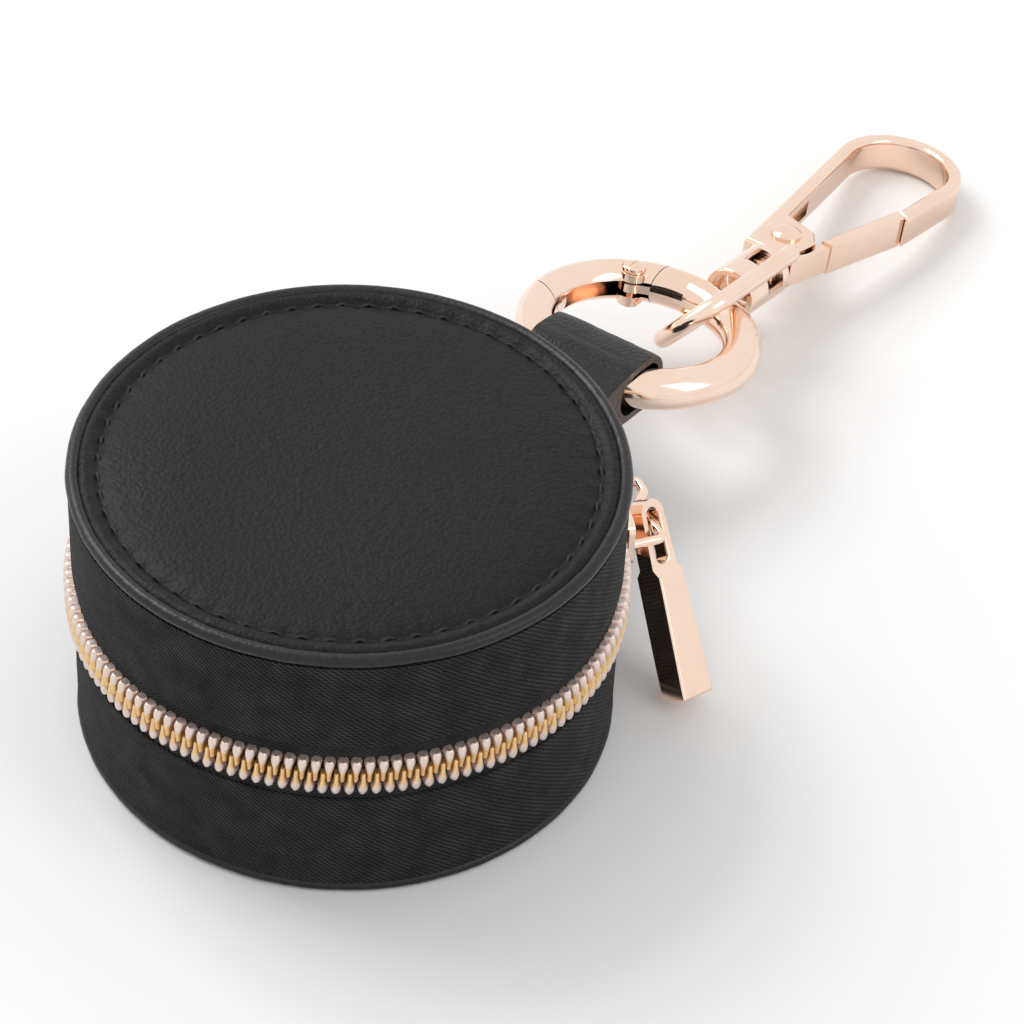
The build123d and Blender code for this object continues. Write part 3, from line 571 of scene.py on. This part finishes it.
# base leather
def makeBasePanel():
    low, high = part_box("base_panel")
    radius = high.x
    profile = [(0, high.z), (radius - 0.3 * mm, high.z), (radius, high.z - 0.3 * mm), (radius, 0.35 * mm),
               (radius - 0.3 * mm, 0.06 * mm), (radius - 1.4 * mm, 0.0), (radius - 2.2 * mm, 0.14 * mm),
               (radius - 2.9 * mm, 0.0), (radius * 0.5, 0.0), (0, 0.0)]
    piece = lathe("basePanel", profile, steps=192)
    tidyMesh(piece, 40)
    dress(piece, leather, "base", "leather", "base_panel")


# zip coils: one rounded turn, copied along each tape
coilTurn = {"pitch": 1.74 * mm, "loopWidth": 1.62 * mm, "start": 12.0, "count": 99, "depth": 1.5 * mm,
            "reach": 0.72 * mm, "height": 2.9 * mm}


def makeTurn():
    # the turn lies with its loop down and its head just past the middle line
    clearSelection()
    bpy.ops.mesh.primitive_cube_add(size=1)
    piece = bpy.context.object
    bpy.ops.object.mode_set(mode="EDIT")
    bpy.ops.mesh.select_all(action="SELECT")
    bpy.ops.mesh.subdivide(number_cuts=4)
    bpy.ops.object.mode_set(mode="OBJECT")
    low, high = -coilTurn["height"], coilTurn["reach"]
    widths = [0.55, 1.0, 0.80, 0.44, 0.49, 0.40]
    levels = [0.0, 0.16, 0.36, 0.58, 0.84, 1.0]

    def shape(point):
        share = point.z + 0.5
        for i in range(5):
            if share <= (i + 1) / 5 + 1e-6:
                local = share * 5 - i
                width = widths[i] + (widths[i + 1] - widths[i]) * local
                level = levels[i] + (levels[i + 1] - levels[i]) * local
                break
        bulge = 1 - (2 * abs(point.y)) ** 2 * 0.28
        lift = 0.82 + 0.18 * math.sin(math.pi * min(1, level * 1.25))
        inside = -0.35 * mm
        depth = coilTurn["depth"] * bulge * lift
        out = inside + (point.x + 0.5) * (depth - inside)
        skew = (level - 0.3) * 0.12 * mm
        return Vector((out, point.y * coilTurn["loopWidth"] * width * (0.75 + 0.25 * (0.5 - point.x + 0.5))
                       + skew, low + (high - low) * level))

    moveVertices(piece, shape)
    addModifier(piece, "SUBSURF", levels=1, render_levels=1)
    return piece


def makeCoil(name, node, body, offset, turnedOver):
    first = makeTurn()
    tapeOut = purseRadius - cloth["thickness"] + tapeLook["thickness"]
    step = coilTurn["pitch"] / (tapeOut + 0.75 * mm)
    made = []
    for i in range(coilTurn["count"]):
        copied = copyPiece(first)
        turn = math.radians(coilTurn["start"]) - (i + offset) * step
        matrix = Matrix.Rotation(turn, 4, "Z") @ Matrix.Translation((tapeOut, 0, zipHeight))
        if turnedOver:
            matrix = matrix @ Matrix.Rotation(math.pi, 4, "X")
        placeMesh(copied, matrix)
        made.append(copied)
    bpy.data.objects.remove(first)
    piece = joinPieces(name, made)
    makeActive(piece)
    bpy.ops.object.shade_smooth()
    return dress(piece, coilPlastic, body, "zip_coil", node)


# soft pieces at the back: the folded tab, the hinge patch and the lid's cover
tab = {"width": 17.6 * mm, "leather": 1.3 * mm, "room": 3.4 * mm, "run": 3.9 * mm, "root": 1.5 * mm,
       "round": 96, "across": 28, "edge": 4, "creases": (0.15, 0.20, 0.27), "creaseDepth": 0.28 * mm}


def evenOutline(points, count):
    # a convex outline through the points, with its corners spaced evenly
    hull = [Vector(points[i]) for i in geometry.convex_hull_2d(points)]
    if sum(a.x * b.y - b.x * a.y for a, b in zip(hull, hull[1:] + hull[:1])) < 0:
        hull.reverse()
    first = max(range(len(hull)), key=lambda i: hull[i].x)
    hull = hull[first:] + hull[:first]
    hull.append(hull[0])
    lengths = [(b - a).length for a, b in zip(hull, hull[1:])]
    total = sum(lengths)
    made, walked, i = [], 0.0, 0
    for step in range(count):
        target = total * step / count
        while walked + lengths[i] < target:
            walked += lengths[i]
            i += 1
        made.append(hull[i].lerp(hull[i + 1], (target - walked) / lengths[i]))
    return made


def circlePoints(centre, radius, count=64):
    return [(centre[0] + radius * math.cos(2 * math.pi * i / count),
             centre[1] + radius * math.sin(2 * math.pi * i / count)) for i in range(count)]


def makeTab():
    out = Vector((math.cos(hingeTurn), math.sin(hingeTurn), 0))
    side = Vector((-out.y, out.x, 0))
    slope = math.asin(abs(Vector(ringNormal).dot(out)))
    centre = Vector((ringCentre.dot(out), ringCentre.z))
    down = Vector((math.cos(slope), -math.sin(slope)))
    wire = centre - down * ringReach
    far = wire + down * tab["run"]
    root = Vector((tabRoot.dot(out), tabRoot.z))
    skin = tab["room"] + tab["leather"]
    outer = evenOutline(circlePoints(wire, skin) + circlePoints(far, skin) + circlePoints(root, tab["root"]),
                        tab["round"])
    inner = evenOutline(circlePoints(wire, tab["room"]) + circlePoints(far, tab["room"]), tab["round"])
    across, edge = tab["across"], tab["edge"]
    clearSelection()
    bpy.ops.mesh.primitive_torus_add(major_segments=tab["round"], minor_segments=2 * (across + edge),
                                     major_radius=1, minor_radius=0.25)
    piece = bpy.context.object
    piece.name = "tab"
    half = tab["width"] / 2

    def fold(point):
        turn = math.atan2(point.y, point.x) % (2 * math.pi)
        ring = int(round(turn / (2 * math.pi) * tab["round"])) % tab["round"]
        around = math.atan2(point.z, Vector(point.xy).length - 1) % (2 * math.pi)
        k = int(round(around / (2 * math.pi) * 2 * (across + edge))) % (2 * (across + edge))
        if k <= across:
            y, share = 2 * k / across - 1, 1.0
        elif k <= across + edge:
            y, share = 1.0, 1 - (k - across) / edge
        elif k <= 2 * across + edge:
            y, share = 1 - 2 * (k - across - edge) / across, 0.0
        else:
            y, share = -1.0, (k - 2 * across - edge) / edge
        place = inner[ring].lerp(outer[ring], share)
        outward = (outer[ring] - inner[ring]).normalized()
        spot = Vector((place.x * 60, y * 1.1, place.y * 60))
        swell = 0.35 * mm * noise.noise(spot * 1.3) + 0.12 * mm * noise.noise(spot * 4)
        rounded = 0.22 * mm * (abs(y) ** 14)
        crease = 0
        for at in tab["creases"]:
            wander = 0.012 * noise.noise(Vector((y * 2, at * 40, 0)))
            crease += math.exp(-((ring / tab["round"] - at - wander) / 0.008) ** 2)
        if share > 0.5:
            place = place + outward * (swell * (1 - abs(y) ** 6) - rounded - tab["creaseDepth"] * crease)
        wavy = 0.25 * mm * noise.noise(Vector((place.x * 160, place.y * 160, y)))
        sideways = y * half - (wavy + 0.15 * mm if abs(y) > 0.99 else 0) * (1 if y > 0 else -1)
        return out * place.x + side * sideways + Vector((0, 0, place.y))

    moveVertices(piece, fold)
    tidyMesh(piece, 50)
    raw = piece.data.attributes.new("raw", "FLOAT", "FACE")
    for face in piece.data.polygons:
        raw.data[face.index].value = 1.0 if abs(Vector(face.normal).dot(side)) > 0.8 else 0.0
    dress(piece, strapLeather, "tab", "leather", "tab_loop")


patch = {"thickness": 0.9 * mm, "from": 41.4, "to": 75.4}
cover = {"from": 22.0, "proud": 1.9 * mm, "middle": 40.0, "spread": 17.0, "step": 28 * mm, "fade": 4,
         "fadeFrom": 21.9, "fadeTo": 75.5, "lobeFrom": 29 * mm, "lobeHigh": 12.5 * mm, "ripple": 0.22 * mm}


def makeCover():
    low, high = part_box("lid_patch")[0].z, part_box("lid_patch")[1].z
    start, end = math.radians(cover["from"]), math.radians(patch["to"])
    inner, outer = purseRadius, purseRadius + patch["thickness"]
    rows = 16
    profile = [(outer, low + (high - low) * i / rows) for i in range(rows + 1)]
    profile += [(inner, high), (inner, low), (outer, low)]
    piece = lathe("lidCover", profile, steps=80, start=start, sweep=end - start)

    def puff(point):
        turn = math.degrees(math.atan2(point.y, point.x))
        radius = Vector(point.xy).length
        share = (point.z - low) / (high - low)
        narrow = 1 / (1 + math.exp((turn - patch["from"]) * 2.5))
        level = point.z + narrow * (cover["step"] - low) * (1 - share)
        if radius > inner + 0.3 * mm:
            near = math.exp(-((turn - cover["middle"]) / cover["spread"]) ** 2)
            rise = min(1, max(0, (level - cover["lobeFrom"]) / cover["lobeHigh"]))
            lobe = near * math.sin(math.pi * rise) ** 1.4
            soft = noise.noise(Vector((turn * 0.12, level * 260, 4)))
            edge = min(1, (turn - cover["fadeFrom"]) / cover["fade"],
                       (cover["fadeTo"] - turn) / cover["fade"])
            radius += cover["proud"] * lobe * edge + cover["ripple"] * soft * share * edge
        out = Vector((point.x, point.y, 0)).normalized()
        return out * radius + Vector((0, 0, level))

    moveVertices(piece, puff)
    tidyMesh(piece, 55)
    dress(piece, leather, "lid", "leather", "lid_patch")


def makeHingePatch():
    low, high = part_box("hinge_patch")[0].z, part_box("hinge_patch")[1].z
    start, end = math.radians(patch["from"]), math.radians(patch["to"])
    inner, outer = purseRadius, purseRadius + patch["thickness"]
    rows = 10
    profile = [(outer, low + (high - low) * i / rows) for i in range(rows + 1)]
    profile += [(inner, high), (inner, low), (outer, low)]
    piece = lathe("hingePatch", profile, steps=60, start=start, sweep=end - start)

    def soften(point):
        radius = Vector(point.xy).length
        out = Vector((point.x, point.y, 0)).normalized()
        if radius > inner + 0.3 * mm:
            edge = min(1, (point.z - low) / (1 * mm))
            radius -= 0.3 * mm * (1 - edge) + 0.1 * mm * abs(noise.noise(point * 300))
        return out * radius + Vector((0, 0, point.z))

    moveVertices(piece, soften)
    tidyMesh(piece, 55)
    dress(piece, leather, "base", "leather", "hinge_patch")


def makePad():
    low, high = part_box("lid_pad")
    edge = high.x
    profile = [(0, high.z), (edge - 0.5 * mm, high.z), (edge - 0.12 * mm, high.z - 0.12 * mm),
               (edge, (low.z + high.z) / 2), (edge - 0.12 * mm, low.z + 0.12 * mm),
               (edge - 0.5 * mm, low.z), (0, low.z)]
    piece = lathe("lidPad", profile, steps=120)
    tidyMesh(piece, 50)
    dress(piece, foam, "lid", "foam", "lid_pad")


makeLidTop()
makeWelt("lidWelt", lidRim - weltHeight / 2, "lid", "lid_welt")
makeWelt("baseWelt", weltHeight / 2, "base", "base_welt")
makeLidStitches()
lidTape = makeTape("lidTape", "lid_tape", "lid")
baseTape = makeTape("baseTape", "base_tape", "base")
makeSide("lidSide", "lid_wall", "lid", False, 2.0)
makeSide("baseSide", "base_wall", "base", True, 7.0)
makeLining("lidLining", "lid_lining", "lid", False)
makeLining("baseLining", "base_lining", "base", True)
makeBasePanel()
makeTab()
makeCover()
makeHingePatch()
makePad()
makeCoil("baseCoil", "base_coil", "base", 0.0, False)
makeCoil("lidCoil", "lid_coil", "lid", 0.5, True)
print("purse made")


# CAD nodes that stay, each with its finish
finishes = {"roseGold": (roseGold, ["base_stops", "lid_stops", "slider_body", "slider_crown", "zip_pull",
                                    "ring_frame", "ring_gate", "ring_pivot", "eye_loop", "eye_barrel",
                                    "hook_body", "hook_gate", "gate_rivet", "swivel_post"]),
            "spring": (springSteel, ["ring_spring", "gate_spring"]),
            "card": (card, ["base_board", "lid_board"])}
for material, names in finishes.values():
    for name in names:
        node = nodes[name]
        node.data.materials.clear()
        node.data.materials.append(material)
print("finishes given")


# floor, light and camera
studio = {"key": 0.62, "fill": 0.74}


def makeFloor():
    clearSelection()
    bpy.ops.mesh.primitive_plane_add(size=6, location=(0, 0, 0))
    floor = bpy.context.object
    floor.name = "floor"
    recipe = Recipe("paleFloor")
    path = recipe.node("LightPath")
    seen = recipe.math("MAXIMUM", path.outputs["Is Camera Ray"], path.outputs["Is Glossy Ray"])
    seen = recipe.math("MAXIMUM", seen, path.outputs["Is Transmission Ray"])
    recipe.link(recipe.mix(seen, (0.75, 0.75, 0.75), (0.93, 0.93, 0.93)), "Base Color")
    recipe.set(Roughness=0.9, Specular_IOR_Level=0.1)
    floor.data.materials.append(recipe.material)


def makeWorld():
    world = bpy.data.worlds.new("studio")
    bpy.context.scene.world = world
    world.use_nodes = True
    tree = world.node_tree
    back = tree.nodes["Background"]
    path = tree.nodes.new("ShaderNodeLightPath")
    first = tree.nodes.new("ShaderNodeMath")
    first.operation = "MAXIMUM"
    tree.links.new(path.outputs["Is Camera Ray"], first.inputs[0])
    tree.links.new(path.outputs["Is Glossy Ray"], first.inputs[1])
    second = tree.nodes.new("ShaderNodeMath")
    second.operation = "MAXIMUM"
    tree.links.new(first.outputs[0], second.inputs[0])
    tree.links.new(path.outputs["Is Transmission Ray"], second.inputs[1])
    strength = tree.nodes.new("ShaderNodeMapRange")
    tree.links.new(second.outputs[0], strength.inputs[0])
    strength.inputs[3].default_value = studio["fill"]
    strength.inputs[4].default_value = 1.0
    tree.links.new(strength.outputs[0], back.inputs["Strength"])
    back.inputs["Color"].default_value = (1, 1, 1, 1)


def makeLamp(name, place, aim, size, power):
    data = bpy.data.lights.new(name, "AREA")
    data.shape = "RECTANGLE"
    data.size, data.size_y = size
    data.energy = power
    lamp = bpy.data.objects.new(name, data)
    bpy.context.scene.collection.objects.link(lamp)
    lamp.location = place
    lamp.rotation_euler = (Vector(aim) - Vector(place)).to_track_quat("-Z", "Y").to_euler()


cameraSet = {"rise": 42.46, "roll": 3.48, "back": 479 * mm, "side": 22.42 * mm, "up": 10.5 * mm,
             "aimHeight": 20 * mm, "lens": 123.05}


def makeCamera():
    rise, roll = math.radians(cameraSet["rise"]), math.radians(cameraSet["roll"])
    back = Vector((0, -math.cos(rise), math.sin(rise)))
    up = Vector((0, math.sin(rise), math.cos(rise)))
    right = Vector((1, 0, 0))
    turnedRight = right * math.cos(roll) + up * math.sin(roll)
    turnedUp = -right * math.sin(roll) + up * math.cos(roll)
    data = bpy.data.cameras.new("camera")
    data.sensor_width = 36
    data.lens = cameraSet["lens"]
    camera = bpy.data.objects.new("camera", data)
    bpy.context.scene.collection.objects.link(camera)
    place = (back * cameraSet["back"] + turnedRight * cameraSet["side"] + turnedUp * cameraSet["up"]
             + Vector((0, 0, cameraSet["aimHeight"])))
    axes = Matrix((turnedRight, turnedUp, back)).transposed().to_4x4()
    camera.matrix_world = Matrix.Translation(place) @ axes
    bpy.context.scene.camera = camera


makeFloor()
makeWorld()
makeLamp("keyLamp", (-0.45, 0.35, 0.7), (0, 0, 0.02), (0.5, 0.5), studio["key"] * 6)
makeLamp("sideLamp", (0.6, -0.25, 0.5), (0, 0, 0.02), (0.35, 0.5), studio["key"] * 1.2)
makeCamera()
bpy.context.scene.view_settings.view_transform = "Standard"
print("studio set")
